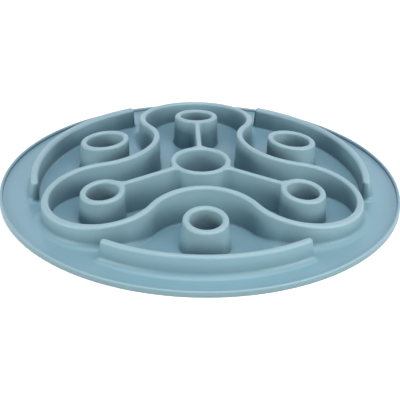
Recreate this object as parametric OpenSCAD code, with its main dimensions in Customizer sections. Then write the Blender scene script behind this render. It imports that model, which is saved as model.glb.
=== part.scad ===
// Slow feeder mat: a round silicone mat with a three-lobed maze of low walls and food cups.
// Millimetres, +Z up, underside on the table at z = 0, centre of the mat on the Z axis.
// The front of the mat faces -Y. Lobes point to the back, left and right, bays lie between them.

/* [Base] */
// Diameter of the whole mat
mat_d = 280; // [270:1:340]
// Thickness of the flat floor
floor_t = 2.5; // [1.2:0.1:3.5]
// Height of the bead round the edge, above the table
rim_h = 4.6; // [3.4:0.1:7]
// Width of the bead round the edge
rim_w = 2.2; // [1.5:0.1:7]

/* [Dome] */
// Height of the crown of the dome that the maze wall's top follows, above the table
dome_h = 29.9; // [26:0.1:36]
// Radius of curvature of that dome at its crown
dome_r = 530; // [450:5:900]
// Height of the cups' rims above that dome
cup_lift = 0.7; // [0:0.1:2]

/* [Hub] */
// Inner diameter of the hub cup at its rim
hub_bore = 34.2; // [28:0.2:40]
// Wall of the hub cup at its rim
hub_w = 3.8; // [2.8:0.1:5]
// Height of the hub cup above the table
hub_h = 28; // [24:0.5:32]

/* [Cups] */
// Inner diameter of a lobe cup at its rim
lobe_cup_bore = 22.4; // [16:0.2:28]
// Inner diameter of a rear pocket cup at its rim
pocket_cup_bore = 25.8; // [18:0.2:30]
// Inner diameter of the front pocket cup at its rim
front_cup_bore = 22.2; // [16:0.2:28]
// Wall of every cup but the hub at its rim
cup_w = 4.2; // [3:0.1:5]
// Distance of the rear pocket cups from the centre
pocket_d = 77; // [73:0.5:82]
// Distance of the front pocket cup from the centre
front_d = 79.2; // [75:0.1:84]

/* [Maze wall] */
// Distance of the lobe centres, with their cups and walls, from the mat's centre
lobe_d = 78.7; // [74:0.1:83]
// Radius of a lobe of the maze wall, to the middle of the wall
lobe_r = 39.1; // [35:0.1:42]
// Distance of the centres of the bays from the mat's centre
bay_d = 81.8; // [78:0.1:87]
// Thickness of the maze wall at its rim, where it is as high as the lobe cups
maze_w = 4.4; // [3:0.1:5.5]

/* [Arc walls] */
// Radius of the three outer arc walls, to the middle of the wall
arc_r = 115.4; // [111:0.1:122]
// Thickness of an arc wall at its rim
arc_w = 4.8; // [3:0.1:6]
// Height of the arc walls above the table
arc_h = 17.4; // [10:0.2:24]
// Gap between the end of an arc wall and the lobe beside it
arc_gap = 12; // [8:0.5:18]

/* [Ribs] */
// Thickness of a rib at its top
rib_w = 3.4; // [2:0.1:4.5]
// Depth of a rib's top below the rims that it joins
rib_drop = 0.8; // [0.5:0.1:2]
// Radius, in plan, of the webs where a rib meets a cup
web_r = 5; // [3:0.5:8]
// Depth of the flat tops of those webs below the rib
web_drop = 1.3; // [0.3:0.1:2]

/* [Moulding] */
// Draft of the maze, hub and rib walls and of the inner faces of the arc walls, in degrees
wall_draft = 2; // [1:0.5:4]
// Draft of the outer faces of the arc walls, in degrees
arc_draft = 9; // [1:0.5:12]
// Draft of the cups, in degrees
cup_draft = 2; // [1:0.5:7]
// Radius of the fillet at the outer foot of the maze wall
foot_r = 3.6; // [1.5:0.1:5]
// Radius of the fillet at the outer foot of the arc walls
arc_foot_r = 4.6; // [1.5:0.1:7]
// Radius of the fillet at every other foot of a wall
inner_foot_r = 1.3; // [0.8:0.1:3]
// Thickness of the thin toe where a foot fillet runs out on the floor
foot_toe = 0.2; // [0.1:0.05:0.4]

/* [Hidden] */
$fn = 96;
silicone = [0.49, 0.62, 0.66];

// Directions of the lobes and of the bays between them, in degrees from +X
BACK = 90;
LEFT = 210;
RIGHT = 330;
BAY_RIGHT = 30;
BAY_LEFT = 150;
BAY_FRONT = 270;
// Half of the angle between two lobes
half_turn = 60;

// Radii to the middle of each cup's wall
hub_r = (hub_bore + hub_w) / 2;
lobe_cup_r = (lobe_cup_bore + cup_w) / 2;
pocket_cup_r = (pocket_cup_bore + cup_w) / 2;
front_cup_r = (front_cup_bore + cup_w) / 2;

// The bays are tangent to the lobes, so their radius and both arcs' angles follow from the centres
lobe_to_bay = sqrt(lobe_d * lobe_d + bay_d * bay_d - 2 * lobe_d * bay_d * cos(half_turn));
bay_r = lobe_to_bay - lobe_r;
lobe_half = atan2(bay_d * sin(half_turn), bay_d * cos(half_turn) - lobe_d);
bay_half = 180 - atan2(lobe_d * sin(half_turn), lobe_d * cos(half_turn) - bay_d);

// Half angle of an arc wall, which ends arc_gap short of the lobe's outer face
arc_end = lobe_r + maze_w / 2 + arc_gap;
arc_half = half_turn - acos((arc_r * arc_r + lobe_d * lobe_d - arc_end * arc_end) / (2 * arc_r * lobe_d));

// Spare height of the walls above their rims, and reach of the shapes that trim them
spare = 4;
reach = 12;
// Least amount by which a rim's rounding is wider than its wall
crown_spare = 0.1;
// Depth to which a foot fillet cuts into the side of its wall, so that the two cross cleanly
foot_bite = 0.02;

// Drafts and foot fillets of a round wall, at the inside and the outside of its circle
wall_drafts = [wall_draft, wall_draft];
cup_drafts = [cup_draft, cup_draft];
arc_drafts = [wall_draft, arc_draft];
cup_feet = [inner_foot_r, inner_foot_r];
lobe_feet = [inner_foot_r, foot_r];
bay_feet = [foot_r, inner_foot_r];
arc_feet = [inner_foot_r, arc_foot_r];

// Height of the dome at a distance r from the centre of the mat
function dome_z(r) = dome_h - r * r / (2 * dome_r);

// A circle of radius r, d from the centre, cuts the dome in a tilted plane.
// rim_z is that plane's height on the circle's own axis, and rim_tilt is its slope in degrees.
function rim_z(d, r) = dome_h - (d * d + r * r) / (2 * dome_r);
function rim_tilt(d) = atan(d / dome_r);

// Half thickness of a drafted wall, w thick at its reference height, at a depth below that height
function half_at(w, depth, draft) = w / 2 + depth * tan(draft);

// Height at which a foot fillet of radius r leaves the side of its wall
function heel_z(r, draft) = foot_toe + r * (1 - sin(draft));

// Section of a wall on its middle line, with a draft and a foot fillet for each side, first the one at -X.
// The wall is w thick at the height ref above the floor, and is drawn up to the height top.
module wall_section(w, ref, top, drafts, feet) {
    sides = [0, 1];
    rim = [for (i = sides) half_at(w, ref - top, drafts[i])];
    rise = [for (i = sides) heel_z(feet[i], drafts[i])];
    heel = [for (i = sides) half_at(w, ref - rise[i], drafts[i])];
    toe = [for (i = sides) heel[i] + feet[i] * cos(drafts[i]) - foot_bite];
    difference() {
        polygon([
            [-toe[0], 0], [toe[1], 0], [toe[1], rise[1]], [heel[1], rise[1]], [rim[1], top],
            [-rim[0], top], [-heel[0], rise[0]], [-toe[0], rise[0]]
        ]);
        for (i = sides)
            translate([(2 * i - 1) * toe[i], foot_toe + feet[i]])
                circle(feet[i]);
    }
}

// Section of the waste over a rim at x = mid, y = 0, which leaves the rim rounded with the radius r
module crown_waste(mid, r, tall) {
    difference() {
        translate([mid - r - spare, -r])
            square([2 * (r + spare), r + tall]);
        translate([mid, -r])
            circle(r);
    }
}

// Wall on a circle of radius r, d from the centre, with its rounded rim in a plane.
// The plane is rim high on the circle's axis, and falls away from the mat's centre by tilt.
// The rounding is turned level and sheared into that plane, so that it stays over the upright wall.
// The wall is w thick at the height ref, has the given drafts and foot fillets, and runs from start to end.
module ring_wall(d, r, w, ref, rim, tilt, drafts, feet, start = 0, end = 360) {
    rise = r * tan(tilt);
    halves = [for (draft = drafts) half_at(w, ref - rim + rise + w / 2, draft)];
    crown_r = (halves[0] + halves[1]) / 2 + crown_spare;
    crown_mid = r + (halves[1] - halves[0]) / 2;
    translate([d, 0, 0])
        difference() {
            translate([0, 0, floor_t])
                rotate(start)
                    rotate_extrude(angle = end - start)
                        translate([r, 0])
                            wall_section(w, ref - floor_t, rim + rise + spare - floor_t, drafts, feet);
            translate([0, 0, rim])
                multmatrix([[1, 0, 0, 0], [0, 1, 0, 0], [-tan(tilt), 0, 1, 0]])
                    rotate_extrude()
                        crown_waste(crown_mid, crown_r, 2 * (rise + spare));
        }
}

// Wall of the maze, with its rim on the dome
module maze_arc(d, r, feet, start, end) {
    ring_wall(d, r, maze_w, dome_z(lobe_d), rim_z(d, r), rim_tilt(d), wall_drafts, feet, start, end);
}

// Cup d from the centre in the direction of +X, with its rim cup_lift above the dome
module cup_form(d, r) {
    rim = rim_z(d, r) + cup_lift;
    ring_wall(d, r, cup_w, rim, rim, rim_tilt(d), cup_drafts, cup_feet);
}

module base_disc() {
    color(silicone)
        cylinder(d = mat_d - 2 * rim_w, h = floor_t);
}

// Upright bead round the edge of the floor, with a rounded top
module rim_bead() {
    color(silicone)
        rotate_extrude()
            translate([(mat_d - rim_w) / 2, 0])
                difference() {
                    translate([-rim_w / 2, 0])
                        square([rim_w, rim_h + spare]);
                    translate([0, rim_h])
                        crown_waste(0, rim_w / 2 + crown_spare, 2 * spare);
                }
}

module hub_form() {
    ring_wall(0, hub_r, hub_w, hub_h, hub_h, 0, wall_drafts, cup_feet);
}

module hub_cup() {
    color(silicone)
        hub_form();
}

module cup(direction, d, r) {
    color(silicone)
        rotate(direction)
            cup_form(d, r);
}

// Plan of the web that widens a rib, with fillets, to meet a round wall at the origin.
// The wall is w thick and has the outer radius r.
module web_plan(r, w) {
    fillet_y = rib_w / 2 + web_r;
    fillet_x = sqrt(pow(r + web_r, 2) - fillet_y * fillet_y);
    root_y = fillet_y * r / (r + web_r);
    root_x = r - w / 2;
    difference() {
        polygon([[root_x, -root_y], [fillet_x, -root_y], [fillet_x, root_y], [root_x, root_y]]);
        for (side = [-1, 1])
            translate([fillet_x, side * fillet_y])
                circle(web_r);
    }
}

// Rib in the direction of +X from the hub to a lobe cup, before it is cut to their faces.
// Its top runs straight from one rim to the other, rib_drop lower.
module rib_form() {
    start = hub_r;
    end = lobe_d - lobe_cup_r;
    fall_h = hub_h - dome_z(end) - cup_lift;
    fall = atan(fall_h / (end - start));
    top = hub_h - rib_drop;
    crown_r = half_at(rib_w, fall_h + rib_w, wall_draft) + crown_spare;
    difference() {
        translate([start, 0, floor_t])
            rotate([90, 0, 90])
                linear_extrude(end - start)
                    wall_section(rib_w, hub_h - floor_t, hub_h + spare - floor_t, wall_drafts, cup_feet);
        translate([start, 0, top])
            rotate([0, fall, 0])
                translate([-reach, 0, 0])
                    rotate([90, 0, 90])
                        linear_extrude(end - start + 2 * reach)
                            crown_waste(0, crown_r, hub_h);
    }
    intersection() {
        translate([0, 0, floor_t])
            linear_extrude(hub_h) {
                web_plan(hub_r + hub_w / 2, hub_w);
                translate([lobe_d, 0])
                    mirror([1, 0])
                        web_plan(lobe_cup_r + cup_w / 2, cup_w);
            }
        translate([start, 0, top - web_drop])
            rotate([0, fall, 0])
                translate([-reach, -reach, -hub_h - reach])
                    cube([end - start + 2 * reach, 2 * reach, hub_h + reach]);
    }
}

module rib(direction) {
    color(silicone)
        rotate(direction)
            difference() {
                union()
                    rib_form();
                hub_form();
                cup_form(lobe_d, lobe_cup_r);
            }
}

module lobe_wall(direction) {
    color(silicone)
        rotate(direction)
            maze_arc(lobe_d, lobe_r, lobe_feet, -lobe_half, lobe_half);
}

module bay_wall(direction) {
    color(silicone)
        rotate(direction)
            maze_arc(bay_d, bay_r, bay_feet, 180 - bay_half, 180 + bay_half);
}

module arc_wall(direction) {
    color(silicone)
        rotate(direction)
            ring_wall(0, arc_r, arc_w, arc_h, arc_h, 0, arc_drafts, arc_feet, -arc_half, arc_half);
}

base_disc();
rim_bead();
hub_cup();
rib(BACK);  // rib_back
rib(LEFT);  // rib_left
rib(RIGHT);  // rib_right
cup(BACK, lobe_d, lobe_cup_r);  // lobe_cup_back
cup(LEFT, lobe_d, lobe_cup_r);  // lobe_cup_left
cup(RIGHT, lobe_d, lobe_cup_r);  // lobe_cup_right
cup(BAY_FRONT, front_d, front_cup_r);  // pocket_cup_front
cup(BAY_LEFT, pocket_d, pocket_cup_r);  // pocket_cup_left
cup(BAY_RIGHT, pocket_d, pocket_cup_r);  // pocket_cup_right
lobe_wall(BACK);  // lobe_wall_back
lobe_wall(LEFT);  // lobe_wall_left
lobe_wall(RIGHT);  // lobe_wall_right
bay_wall(BAY_FRONT);  // bay_wall_front
bay_wall(BAY_LEFT);  // bay_wall_left
bay_wall(BAY_RIGHT);  // bay_wall_right
arc_wall(BAY_FRONT);  // arc_wall_front
arc_wall(BAY_LEFT);  // arc_wall_left
arc_wall(BAY_RIGHT);  // arc_wall_right
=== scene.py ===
import math

import bmesh
import bpy
from mathutils import Matrix, Vector


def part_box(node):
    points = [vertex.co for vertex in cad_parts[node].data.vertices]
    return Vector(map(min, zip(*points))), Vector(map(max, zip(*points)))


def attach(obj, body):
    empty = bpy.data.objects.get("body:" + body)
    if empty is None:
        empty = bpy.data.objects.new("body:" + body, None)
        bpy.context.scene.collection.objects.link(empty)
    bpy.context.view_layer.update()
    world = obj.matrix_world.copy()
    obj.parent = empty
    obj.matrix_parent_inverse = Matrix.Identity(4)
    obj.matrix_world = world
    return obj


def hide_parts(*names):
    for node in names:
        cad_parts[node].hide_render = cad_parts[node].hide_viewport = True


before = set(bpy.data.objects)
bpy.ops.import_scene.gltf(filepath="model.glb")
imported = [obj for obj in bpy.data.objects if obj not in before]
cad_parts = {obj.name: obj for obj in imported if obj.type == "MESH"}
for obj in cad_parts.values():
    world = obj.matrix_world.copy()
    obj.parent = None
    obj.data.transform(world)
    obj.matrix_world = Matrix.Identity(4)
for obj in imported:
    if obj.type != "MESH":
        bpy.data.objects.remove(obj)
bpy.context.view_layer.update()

# Lengths are in millimetres and angles in degrees. MM turns a length into Blender's metres.
MM = 0.001
BODY = "root"

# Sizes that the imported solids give
MAT_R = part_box("rim_bead")[1].x / MM
RIM_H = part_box("rim_bead")[1].z / MM
RIM_W = MAT_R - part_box("base_disc")[1].x / MM
FLOOR_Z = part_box("base_disc")[1].z / MM
HUB_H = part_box("hub_cup")[1].z / MM
ARC_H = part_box("arc_wall_front")[1].z / MM

# Dome that the rims of the maze wall follow, and the height of the cups' rims above it
DOME_H = 29.9
DOME_R = 530.0
CUP_LIFT = 0.7

# Walls: radii run to the middle of a wall, and thicknesses are at the rim
HUB_R, HUB_W = 19.0, 3.8
CUP_W = 4.2
LOBE_CUP_R, POCKET_CUP_R, FRONT_CUP_R = 13.3, 15.0, 13.2
POCKET_D, FRONT_D = 77.0, 79.2
LOBE_D, LOBE_R, BAY_D, MAZE_W = 78.7, 39.1, 81.8, 4.4
ARC_R, ARC_W, ARC_GAP = 115.4, 4.8, 12.0
RIB_W, WEB_R = 3.4, 5.0
# Depth of a rib's top below the rims that it runs into
FLUSH_DROP = 0.05
# Drafts of the outer and inner faces of the walls. The front pocket cup widens more towards its foot.
WALL_DRAFTS, CUP_DRAFTS = (2.0, 2.0), (2.0, 2.0)
FRONT_CUP_DRAFTS, ARC_DRAFTS = (5.5, 2.0), (9.0, 2.0)

# Directions of the lobes and of the bays between them, from +X, and the turn from a lobe to the next bay
LOBES = {"back": 90.0, "left": 210.0, "right": 330.0}
BAYS = {"front": 270.0, "left": 150.0, "right": 30.0}
HALF_TURN = 60.0

# Fillets at the outer foot of the maze wall, in the lobes and in the bays, and of the arc walls
FOOT_R, BAY_FOOT_R, ARC_FOOT_R = 5.0, 1.8, 4.6
# Fillet at every other foot
INNER_FOOT_R = 1.3
# Part of a lobe's run over which the fillet of its outer foot narrows
FOOT_BLEND = 0.2
# Depth and reach of the toe that a wall's foot hides under the floor, and the drop of its upper edge
SINK, TOE_DROP = 0.6, 0.02

# Roundings of the rims of the cups and the maze, of the ribs, of the arc walls and of the mat's lower edge
RIM_ROUND, RIB_ROUND, END_ROUND, EDGE_ROUND = 1.8, 1.5, 2.2, 0.8
# Fillet at the inner foot of the bead, and the lean of its inner face
BEAD_FOOT_R, BEAD_LEAN = 0.25, 3.0
# Small step that keeps flat faces flat beside a curve
GUARD = 0.3

# Fineness of the meshes: steps round or along each form
CUP_STEPS, HUB_STEPS = 96, 128
LOBE_STEPS, BAY_STEPS = 108, 56
RIB_STEPS = 40
ARC_STEPS, CORNER_STEPS = 96, 8
BASE_STEPS = 256
# Steps across the roundings of a wall, of the mat's lower edge and the bead's foot, and of the bead's crown
ROUND_STEPS, EDGE_STEPS, BEAD_STEPS = 8, 6, 14
# Shares of the way up the face of a wall, and of the way out from the middle of its rim, that have a point
FACE_SHARES = (0.03, 0.25, 0.5, 0.75, 0.97)
CROWN_SHARES = (0.67, 0.33, 0.0)
# Radii of the rings that divide the flat underside and floor, and of one more on the floor
FLAT_RINGS, OUTER_RING = (0.0, 30.0, 60.0, 90.0, 115.0), 124.0
# Distances at which points are joined and edges count as nothing
WELD, SLIVER = 1e-4, 1e-5

# Tones of the silicone: its body, the painted shade of its crevices, and the painted highlight of its rims,
# which look paler
BODY_DARK, BODY_PALE = (0.188, 0.337, 0.407), (0.207, 0.364, 0.436)
CREVICE_PAINTED_SHADE = (0.055, 0.105, 0.138)
RIM_PAINTED_HIGHLIGHT = (0.265, 0.400, 0.460)
# Share of the rims' painted highlight just below a rim, and the part of a wall's height over which it fades,
# so the walls are painted paler towards their tops
RIM_FADE, FADE_REACH = 0.55, 0.8
# How fast the rims' painted highlight builds up over the rounding of a wall's rim, and how far down the bead
# it reaches
RIM_SPREAD, BEAD_REACH = 1.3, 1.3
# Share of the rims' painted highlight on the bead's crown, and of that on its outer face
BEAD_HIGHLIGHT_SHARE, FACE_HIGHLIGHT_SHARE = 0.5, 0.7
# Painted shade in crevices: how far away a wall still darkens a face's colour, and the rays that find it
CREVICE_REACH, CREVICE_SAMPLES = 21.0, 8
# Openness at which the painted shade is darkest and at which a face is clear of it, and the share of the
# body's tone when darkest
CREVICE_RANGE, CREVICE_LEAST = (0.45, 0.9), 0.3
# Mottling and grain, as the scale and detail of a noise
MOTTLE, GRAIN = (35.0, 3.0), (1400.0, 2.0)
# Surface: the range of its roughness, its refractive index, and the strength and depth of its grain
ROUGHNESS, SILICONE_IOR = (0.34, 0.44), 1.45
GRAIN_STRENGTH, GRAIN_DEPTH = 0.15, 0.1

# Camera, as fitted to the photograph's 400 by 400 pixels
IMAGE_PX = 400
FOCAL_PX = 1861.3
CAMERA_AZ, CAMERA_EL, CAMERA_ROLL = -3.04, 28.06, 1.24
CAMERA_DIST = 1307.0
# Pixel at which the origin of the mat appears
ORIGIN_PX = (200.03, 195.09)
SENSOR_MM = 36.0

# Studio, in metres and watts. The floor's glow is seen, but puts no diffuse light on the mat.
FLOOR_HALF = 4.0
FLOOR_GREY, FLOOR_ROUGHNESS, FLOOR_GLOW = 0.9, 0.9, 0.35
CAMERA_REACH = 20.0
LAMP_DIST = 1.6
# Tints of the lamps: cool from above and behind, faintly green from the front corners, and warm elsewhere
TOP_TINT, BACK_TINT = (0.94, 1.0, 1.08), (0.80, 1.0, 1.30)
SIDE_TINT, FILL_TINT = (0.97, 1.0, 0.92), (1.15, 1.0, 0.94)
# Name, azimuth, elevation, width and height, power and colour of each lamp
LAMPS = (
    ("top_lamp", 0.0, 85.0, (1.2, 1.2), 15.8, TOP_TINT),
    ("front_lamp", 25.0, 38.0, (1.2, 1.0), 8.9, FILL_TINT),
    ("front_right_lamp", 60.0, 15.0, (1.2, 0.5), 15.4, SIDE_TINT),
    ("front_left_lamp", 300.0, 15.0, (1.2, 0.5), 15.0, SIDE_TINT),
    ("right_lamp", 100.0, 22.0, (1.0, 1.0), 2.3, FILL_TINT),
    ("left_lamp", 260.0, 22.0, (1.0, 1.0), 2.5, FILL_TINT),
    ("back_lamp", 180.0, 22.0, (1.0, 1.0), 2.3, BACK_TINT),
)


def unit(degrees):
    """Unit vector in plan in a direction given in degrees from +X."""
    a = math.radians(degrees)
    return Vector((math.cos(a), math.sin(a)))


def dome_z(r):
    """Height of the dome at a distance r from the centre of the mat."""
    return DOME_H - r * r / (2 * DOME_R)


def dome_slope(p, n):
    """Slope of the dome at the plan point p in the direction n."""
    return -p.dot(n) / DOME_R


def smooth(t):
    """Smooth step from 0 to 1."""
    t = max(0.0, min(1.0, t))
    return t * t * (3 - 2 * t)


def new_form():
    """Empty form whose vertices carry a rim value, the share of the painted highlight."""
    bm = bmesh.new()
    bm.verts.layers.float.new("rim")
    return bm


def add_point(bm, x, y, z, rim):
    """Vertex of a form, which carries how much painted rim highlight it has."""
    vert = bm.verts.new((x, y, z))
    vert[bm.verts.layers.float["rim"]] = rim
    return vert


def skin(bm, a, b):
    """Band of faces between two rings, of which one may be a single point."""
    count = max(len(a), len(b))
    for i in range(count):
        j = (i + 1) % count
        corners = (a[i % len(a)], a[j % len(a)], b[j % len(b)], b[i % len(b)])
        bm.faces.new(list(dict.fromkeys(corners)))


def arc_points(cx, cy, r, start, end, steps):
    """Points of an arc in a section, from the angle start to end in degrees."""
    points = []
    for i in range(steps + 1):
        a = math.radians(start + (end - start) * i / steps)
        points.append((cx + r * math.cos(a), cy + r * math.sin(a)))
    return points


def side_profile(half, top, draft, round_r, foot_r, fade=RIM_FADE):
    """One side of a wall as (offset from its middle, height, rim), from its toe to the middle of its rim.

    half is the half thickness at the top. The side is drafted, and the rim's edge and the foot are rounded.
    The toe runs on under the floor, so that the fillet meets the floor without an edge.
    rim, the share of the painted highlight, is 1 on the middle of the rim and fade just below it, and falls
    to 0 down the side.
    """
    tan_d, sin_d, cos_d = (f(math.radians(draft)) for f in (math.tan, math.sin, math.cos))
    tall = top - FLOOR_Z
    toe = half + tall * tan_d + foot_r * (1 - sin_d) / cos_d
    edge = half + round_r * tan_d
    round_r = min(round_r, edge)
    points = [(toe + SINK, FLOOR_Z - SINK), (toe + SINK, FLOOR_Z - TOE_DROP)]
    points += arc_points(toe, FLOOR_Z + foot_r, foot_r, 270, 180 + draft, ROUND_STEPS)
    rounding = arc_points(edge - round_r * cos_d, top - round_r, round_r, draft, 90, ROUND_STEPS)
    low, high = points[-1], rounding[0]
    # Points close to both curves keep the side flat between them.
    for t in FACE_SHARES:
        points.append((low[0] + (high[0] - low[0]) * t, low[1] + (high[1] - low[1]) * t))
    profile = [(u, z, fade * smooth(1 - (top - z) / (FADE_REACH * tall))) for u, z in points]
    for i, (u, z) in enumerate(rounding):
        profile.append((u, z, fade + (1 - fade) * smooth(i * RIM_SPREAD / len(rounding))))
    flat = rounding[-1][0]
    return profile + [(flat * share, top, 1.0) for share in CROWN_SHARES]


def wall_section(w, ref, top, drafts, round_r, slope=0.0, outer_foot=INNER_FOOT_R):
    """Closed section of a wall, w thick at the height ref: its outer side, then its inner side.

    top is the height of its rim, which leans by slope across the wall.
    """
    sides = []
    for draft, foot_r in zip(drafts, (outer_foot, INNER_FOOT_R)):
        half = w / 2 + (ref - top) * math.tan(math.radians(draft))
        sides.append(side_profile(half, top, draft, round_r, foot_r))
    outer, inner = sides
    section = outer + [(-u, z, rim) for u, z, rim in reversed(inner[:-1])]
    height = top - FLOOR_Z
    return [(u, z + slope * u * max(0.0, (z - FLOOR_Z) / height), rim) for u, z, rim in section]


def finish_piece(name, bm, nodes):
    """Turn a form in millimetres into a smooth piece that stands for the named solids."""
    bmesh.ops.remove_doubles(bm, verts=bm.verts, dist=WELD)
    bmesh.ops.dissolve_degenerate(bm, edges=bm.edges, dist=SLIVER)
    bmesh.ops.recalc_face_normals(bm, faces=bm.faces)
    bmesh.ops.transform(bm, matrix=Matrix.Scale(MM, 4), verts=bm.verts)
    for face in bm.faces:
        face.smooth = True
    mesh = bpy.data.meshes.new(name)
    bm.to_mesh(mesh)
    bm.free()
    piece = bpy.data.objects.new(name, mesh)
    bpy.context.scene.collection.objects.link(piece)
    mesh.materials.append(SILICONE)
    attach(piece, BODY)
    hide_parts(*nodes)


def sweep(name, nodes, stations, closed=True):
    """Skin the sections at the stations, each a plan point, the normal across the wall and a section."""
    bm = new_form()
    rings = []
    for p, n, section in stations:
        rings.append([add_point(bm, p.x + n.x * u, p.y + n.y * u, z, rim) for u, z, rim in section])
    for a, b in zip(rings, rings[1:]):
        skin(bm, a, b)
    if closed:
        skin(bm, rings[-1], rings[0])
    else:
        bm.faces.new(rings[0])
        bm.faces.new(rings[-1])
    finish_piece(name, bm, nodes)


def round_wall(name, centre, r, w, drafts, steps, level=None):
    """A cup: a wall on a circle, with its rim on the dome, or level at a given height."""
    ref = level or dome_z(math.hypot(centre.length, r)) + CUP_LIFT
    stations = []
    for i in range(steps):
        n = unit(360 * i / steps)
        p = centre + n * r
        top = level or dome_z(p.length) + CUP_LIFT
        slope = 0.0 if level else dome_slope(p, n)
        stations.append((p, n, wall_section(w, ref, top, drafts, RIM_ROUND, slope)))
    sweep(name, [name], stations)


def maze_station(p, n, foot_r):
    """Station of the maze wall at a plan point, with the normal out of the maze."""
    ref, top, slope = dome_z(LOBE_D), dome_z(p.length), dome_slope(p, n)
    return p, n, wall_section(MAZE_W, ref, top, WALL_DRAFTS, RIM_ROUND, slope, foot_r)


def maze_wall():
    """The serpentine wall: three lobes and three bays, tangent to each other, in one closed run.

    The fillet of its outer foot is wide on the lobes and narrows towards the bays.
    """
    sin_t, cos_t = math.sin(math.radians(HALF_TURN)), math.cos(math.radians(HALF_TURN))
    lobe_half = math.degrees(math.atan2(BAY_D * sin_t, BAY_D * cos_t - LOBE_D))
    bay_half = 180 - math.degrees(math.atan2(LOBE_D * sin_t, LOBE_D * cos_t - BAY_D))
    bay_r = math.sqrt(LOBE_D ** 2 + BAY_D ** 2 - 2 * LOBE_D * BAY_D * cos_t) - LOBE_R
    stations = []
    for direction in LOBES.values():
        centre = unit(direction) * LOBE_D
        for i in range(LOBE_STEPS):
            turn = i / LOBE_STEPS
            n = unit(direction - lobe_half + 2 * lobe_half * turn)
            narrow = smooth(1 - min(turn, 1 - turn) / FOOT_BLEND)
            stations.append(maze_station(centre + n * LOBE_R, n, FOOT_R + (BAY_FOOT_R - FOOT_R) * narrow))
        between = direction + HALF_TURN
        centre = unit(between) * BAY_D
        for i in range(BAY_STEPS):
            n = unit(between + 180 + bay_half - 2 * bay_half * i / BAY_STEPS)
            stations.append(maze_station(centre + n * bay_r, -n, BAY_FOOT_R))
    nodes = [f"lobe_wall_{side}" for side in LOBES] + [f"bay_wall_{side}" for side in BAYS]
    sweep("maze_wall", nodes, stations)


def web_half(x, r):
    """Half width of a rib, x from the middle of a round wall of outer radius r, with its filleted web."""
    fillet_y = RIB_W / 2 + WEB_R
    fillet_x = math.sqrt((r + WEB_R) ** 2 - fillet_y ** 2)
    root_x = fillet_x * r / (r + WEB_R)
    if x >= fillet_x:
        return RIB_W / 2
    x = max(x, root_x)
    return fillet_y - math.sqrt(WEB_R ** 2 - (fillet_x - x) ** 2)


def rib(name, direction):
    """A straight rib from the middle of the hub's rim to the middle of a lobe cup's rim."""
    along = unit(direction)
    across = unit(direction + 90)
    start, end = HUB_R, LOBE_D - LOBE_CUP_R
    cup_top = dome_z(end) + CUP_LIFT
    stations = []
    for i in range(RIB_STEPS + 1):
        # Stations lie closer together near both ends, where the webs curve.
        t = (1 - math.cos(math.pi * i / RIB_STEPS)) / 2
        x = start + (end - start) * t
        half = max(web_half(x, HUB_R + HUB_W / 2), web_half(LOBE_D - x, LOBE_CUP_R + CUP_W / 2))
        top = HUB_H + (cup_top - HUB_H) * t - FLUSH_DROP
        stations.append((along * x, across, wall_section(2 * half, top, top, WALL_DRAFTS, RIB_ROUND)))
    sweep(name, [name], stations, closed=False)


def arc_outline(direction):
    """Plan outline of an arc wall as (point, outward normal, point on the ridge), counter-clockwise."""
    reach = LOBE_R + MAZE_W / 2 + ARC_GAP
    cos_gap = (ARC_R ** 2 + LOBE_D ** 2 - reach ** 2) / (2 * ARC_R * LOBE_D)
    half_angle = HALF_TURN - math.degrees(math.acos(cos_gap))
    half = ARC_W / 2
    straight = half_angle - math.degrees(END_ROUND / ARC_R)
    ridge_angle = half_angle - math.degrees(half / ARC_R)
    outline = []
    for side in (1, -1):
        for i in range(ARC_STEPS + 1):
            turn = side * straight * (2 * i / ARC_STEPS - 1)
            n = unit(direction + turn)
            ridge = unit(direction + max(-ridge_angle, min(ridge_angle, turn))) * ARC_R
            outline.append((n * (ARC_R + side * half), n * side, ridge))
        # The end after this side: two rounded corners with a flat face between them
        radial, tangent = unit(direction + side * straight), unit(direction + side * straight + 90) * side
        ridge = unit(direction + side * ridge_angle) * ARC_R
        for corner in (side, -side):
            centre = radial * (ARC_R + corner * (half - END_ROUND))
            for i in range(1, CORNER_STEPS):
                t = i / CORNER_STEPS
                turn = math.radians(90 * (t if corner == side else 1 - t))
                n = radial * corner * math.cos(turn) + tangent * math.sin(turn)
                outline.append((centre + n * END_ROUND, n, ridge))
    return outline


def arc_wall(name, direction):
    """An outer arc wall: its outline carried up from a filleted foot to a rounded rim.

    Its outer face has the body's tone up to the rim, without the painted highlight's fade.
    """
    half = ARC_W / 2
    outer = side_profile(half, ARC_H, ARC_DRAFTS[0], END_ROUND, ARC_FOOT_R, fade=0.0)
    inner = side_profile(half, ARC_H, ARC_DRAFTS[1], END_ROUND, INNER_FOOT_R)
    outline = arc_outline(direction)
    bm = new_form()
    rings = []
    for inside, outside in zip(inner, outer):
        ring = []
        for p, n, ridge in outline:
            out = (1 + n.dot(ridge.normalized())) / 2
            u, z, rim = (a + (b - a) * out for a, b in zip(inside, outside))
            inset = min(half - u, END_ROUND)
            q = p - n * inset
            if half - u > inset:
                q = q.lerp(ridge, (half - u - inset) / (half - inset))
            ring.append(add_point(bm, q.x, q.y, z, rim))
        rings.append(ring)
    for a, b in zip(rings, rings[1:]):
        skin(bm, a, b)
    bm.faces.new(list(reversed(rings[0])))
    finish_piece(name, bm, [name])


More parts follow.
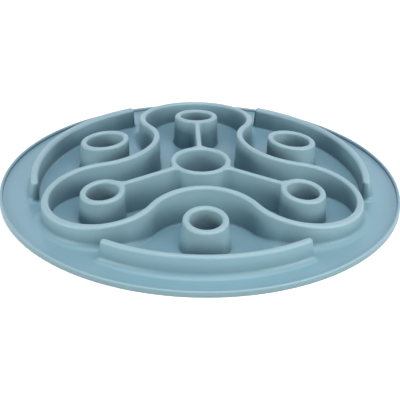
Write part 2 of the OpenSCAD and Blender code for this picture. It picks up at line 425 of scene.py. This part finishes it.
def mat_base():
    """The floor and the bead round its edge, as one turned form with a plain flat underside."""
    bead_r = RIM_W / 2
    mid = MAT_R - bead_r
    profile = [(r, 0.0) for r in (*FLAT_RINGS, MAT_R - EDGE_ROUND - GUARD)]
    profile += arc_points(MAT_R - EDGE_ROUND, EDGE_ROUND, EDGE_ROUND, 270, 360, EDGE_STEPS)
    profile += [(MAT_R, EDGE_ROUND + GUARD), (MAT_R, RIM_H - bead_r - GUARD)]
    profile += arc_points(mid, RIM_H - bead_r, bead_r, 0, 180 - BEAD_LEAN, BEAD_STEPS)
    # The bead's inner face leans from the end of its crown down to its foot.
    lean = math.radians(BEAD_LEAN)
    crown_r, crown_z = profile[-1]
    drop = crown_z - FLOOR_Z - BEAD_FOOT_R * (1 - math.sin(lean))
    foot_x = crown_r - drop * math.tan(lean) - BEAD_FOOT_R * math.cos(lean)
    profile += arc_points(foot_x, FLOOR_Z + BEAD_FOOT_R, BEAD_FOOT_R, -BEAD_LEAN, -90, EDGE_STEPS)
    profile += [(r, FLOOR_Z) for r in (profile[-1][0] - GUARD, OUTER_RING, *reversed(FLAT_RINGS))]
    bm = new_form()
    rings = []
    for r, z in profile:
        steps = BASE_STEPS if r > 0 else 1
        # Painted highlight: the bead's crown and its outer face are painted paler.
        rim = BEAD_HIGHLIGHT_SHARE * max(smooth((z - RIM_H) / bead_r + BEAD_REACH), FACE_HIGHLIGHT_SHARE if r > mid else 0.0)
        rings.append([add_point(bm, *(unit(360 * i / steps) * r), z, rim) for i in range(steps)])
    for a, b in zip(rings, rings[1:]):
        skin(bm, a, b)
    finish_piece("mat_base", bm, ["base_disc", "rim_bead"])


def colour_mix(nodes, links, factor, low, high):
    """Output of a mix of two colours, each a plain colour or another node's output."""
    mix = nodes.new("ShaderNodeMix")
    mix.data_type = "RGBA"
    links.new(factor, mix.inputs["Factor"])
    for colour, socket in ((low, mix.inputs["A"]), (high, mix.inputs["B"])):
        if isinstance(colour, tuple):
            socket.default_value = (*colour, 1.0)
        else:
            links.new(colour, socket)
    return mix.outputs["Result"]


def noise(nodes, links, place, scale, detail):
    """Output of a noise that is fixed to the object."""
    texture = nodes.new("ShaderNodeTexNoise")
    texture.inputs["Scale"].default_value = scale
    texture.inputs["Detail"].default_value = detail
    links.new(place.outputs["Object"], texture.inputs["Vector"])
    return texture.outputs["Fac"]


def map_range(nodes, links, value, low, high, to_low, to_high):
    """Output of a value that is carried from the range low to high to the range to_low to to_high."""
    span = nodes.new("ShaderNodeMapRange")
    span.inputs["From Min"].default_value = low
    span.inputs["From Max"].default_value = high
    span.inputs["To Min"].default_value = to_low
    span.inputs["To Max"].default_value = to_high
    links.new(value, span.inputs["Value"])
    return span.outputs["Result"]


def greater(nodes, links, a, b):
    """Output of the greater of two values."""
    node = nodes.new("ShaderNodeMath")
    node.operation = "MAXIMUM"
    links.new(a, node.inputs[0])
    links.new(b, node.inputs[1])
    return node.outputs["Value"]


def silicone():
    """Moulded silicone: blue-grey with faint mottling and grain, with painted shade in crevices and a
    painted highlight on the rims.
    """
    material = bpy.data.materials.new("silicone")
    material.use_nodes = True
    nodes, links = material.node_tree.nodes, material.node_tree.links
    shader = nodes["Principled BSDF"]
    shader.inputs["IOR"].default_value = SILICONE_IOR
    place = nodes.new("ShaderNodeTexCoord")

    body = colour_mix(nodes, links, noise(nodes, links, place, *MOTTLE), BODY_DARK, BODY_PALE)
    # Painted shade: the colour darkens where nearby walls hide a face from light, as ambient occlusion finds
    # it.
    crevice = nodes.new("ShaderNodeAmbientOcclusion")
    crevice.samples = CREVICE_SAMPLES
    crevice.inputs["Distance"].default_value = CREVICE_REACH * MM
    open_air = map_range(nodes, links, crevice.outputs["AO"], *CREVICE_RANGE, CREVICE_LEAST, 1.0)
    # The painted shade leaves faces that look up as pale as the open floor.
    facing = nodes.new("ShaderNodeSeparateXYZ")
    links.new(nodes.new("ShaderNodeNewGeometry").outputs["Normal"], facing.inputs["Vector"])
    lit = greater(nodes, links, open_air, facing.outputs["Z"])
    shaded = colour_mix(nodes, links, lit, CREVICE_PAINTED_SHADE, body)
    # Painted highlight: the rim attribute paints the rims and the upper walls paler.
    rim = nodes.new("ShaderNodeAttribute")
    rim.attribute_name = "rim"
    tone = colour_mix(nodes, links, rim.outputs["Fac"], shaded, RIM_PAINTED_HIGHLIGHT)
    links.new(tone, shader.inputs["Base Color"])

    grain = noise(nodes, links, place, *GRAIN)
    links.new(map_range(nodes, links, grain, 0.0, 1.0, *ROUGHNESS), shader.inputs["Roughness"])
    bump = nodes.new("ShaderNodeBump")
    bump.inputs["Strength"].default_value = GRAIN_STRENGTH
    bump.inputs["Distance"].default_value = GRAIN_DEPTH * MM
    links.new(grain, bump.inputs["Height"])
    links.new(bump.outputs["Normal"], shader.inputs["Normal"])
    return material


def camera():
    """The camera of the photograph, placed so that the mat lies where the photograph has it."""
    az, el, roll = (math.radians(a) for a in (CAMERA_AZ, CAMERA_EL, CAMERA_ROLL))
    back = Vector((math.sin(az) * math.cos(el), -math.cos(az) * math.cos(el), math.sin(el)))
    level = Vector((math.cos(az), math.sin(az), 0.0))
    upright = back.cross(level)
    right = level * math.cos(roll) + upright * math.sin(roll)
    up = upright * math.cos(roll) - level * math.sin(roll)
    mm_per_px = CAMERA_DIST / FOCAL_PX
    eye = back * CAMERA_DIST
    eye -= right * (ORIGIN_PX[0] - IMAGE_PX / 2) * mm_per_px
    eye += up * (ORIGIN_PX[1] - IMAGE_PX / 2) * mm_per_px
    data = bpy.data.cameras.new("camera")
    data.sensor_width = SENSOR_MM
    data.lens = FOCAL_PX / IMAGE_PX * SENSOR_MM
    data.clip_end = CAMERA_REACH
    rig = bpy.data.objects.new("camera", data)
    bpy.context.scene.collection.objects.link(rig)
    rig.matrix_world = Matrix.Translation(eye * MM) @ Matrix((right, up, back)).transposed().to_4x4()
    bpy.context.scene.camera = rig


def soft_lamp(name, azimuth, elevation, size, power, colour):
    """A soft rectangular lamp that faces the mat. Its azimuth runs from the front to the right."""
    a, e = math.radians(azimuth), math.radians(elevation)
    place = Vector((math.sin(a) * math.cos(e), -math.cos(a) * math.cos(e), math.sin(e))) * LAMP_DIST
    data = bpy.data.lights.new(name, "AREA")
    data.shape = "RECTANGLE"
    data.size, data.size_y = size
    data.energy = power
    data.color = colour
    lamp = bpy.data.objects.new(name, data)
    bpy.context.scene.collection.objects.link(lamp)
    lamp.location = place
    lamp.rotation_mode = "QUATERNION"
    lamp.rotation_quaternion = (-place).to_track_quat("-Z", "Y")


def seen_directly(nodes, links):
    """Output that is 1 on what the camera sees, straight or in a reflection, and 0 for diffuse light."""
    path = nodes.new("ShaderNodeLightPath").outputs
    straight = greater(nodes, links, path["Is Camera Ray"], path["Is Glossy Ray"])
    return greater(nodes, links, straight, path["Is Transmission Ray"])


def studio_floor():
    """A plain white floor that keeps the mat's soft shadow."""
    material = bpy.data.materials.new("studio_floor")
    material.use_nodes = True
    nodes, links = material.node_tree.nodes, material.node_tree.links
    shader = nodes["Principled BSDF"]
    shader.inputs["Base Color"].default_value = (FLOOR_GREY, FLOOR_GREY, FLOOR_GREY, 1.0)
    shader.inputs["Roughness"].default_value = FLOOR_ROUGHNESS
    shader.inputs["Specular IOR Level"].default_value = 0.0
    shader.inputs["Emission Color"].default_value = (1.0, 1.0, 1.0, 1.0)
    glow = nodes.new("ShaderNodeMath")
    glow.operation = "MULTIPLY"
    glow.inputs[1].default_value = FLOOR_GLOW
    links.new(seen_directly(nodes, links), glow.inputs[0])
    links.new(glow.outputs["Value"], shader.inputs["Emission Strength"])
    mesh = bpy.data.meshes.new("studio_floor")
    h = FLOOR_HALF
    mesh.from_pydata([(-h, -h, 0), (h, -h, 0), (h, h, 0), (-h, h, 0)], [], [(0, 1, 2, 3)])
    mesh.materials.append(material)
    floor = bpy.data.objects.new("studio_floor", mesh)
    bpy.context.scene.collection.objects.link(floor)


def studio_world():
    """A backdrop that is seen as white and puts no diffuse light on the mat."""
    world = bpy.data.worlds.new("studio_world")
    bpy.context.scene.world = world
    world.use_nodes = True
    nodes, links = world.node_tree.nodes, world.node_tree.links
    sky = nodes["Background"]
    sky.inputs["Color"].default_value = (1.0, 1.0, 1.0, 1.0)
    links.new(seen_directly(nodes, links), sky.inputs["Strength"])


SILICONE = silicone()
mat_base()
maze_wall()
round_wall("hub_cup", Vector((0.0, 0.0)), HUB_R, HUB_W, WALL_DRAFTS, HUB_STEPS, level=HUB_H)
for side, direction in LOBES.items():
    rib(f"rib_{side}", direction)
    round_wall(f"lobe_cup_{side}", unit(direction) * LOBE_D, LOBE_CUP_R, CUP_W, CUP_DRAFTS, CUP_STEPS)
for side, direction in BAYS.items():
    d, r, drafts = POCKET_D, POCKET_CUP_R, CUP_DRAFTS
    if side == "front":
        d, r, drafts = FRONT_D, FRONT_CUP_R, FRONT_CUP_DRAFTS
    round_wall(f"pocket_cup_{side}", unit(direction) * d, r, CUP_W, drafts, CUP_STEPS)
    arc_wall(f"arc_wall_{side}", direction)

camera()
studio_floor()
studio_world()
for lamp in LAMPS:
    soft_lamp(*lamp)
bpy.context.scene.view_settings.view_transform = "Standard"
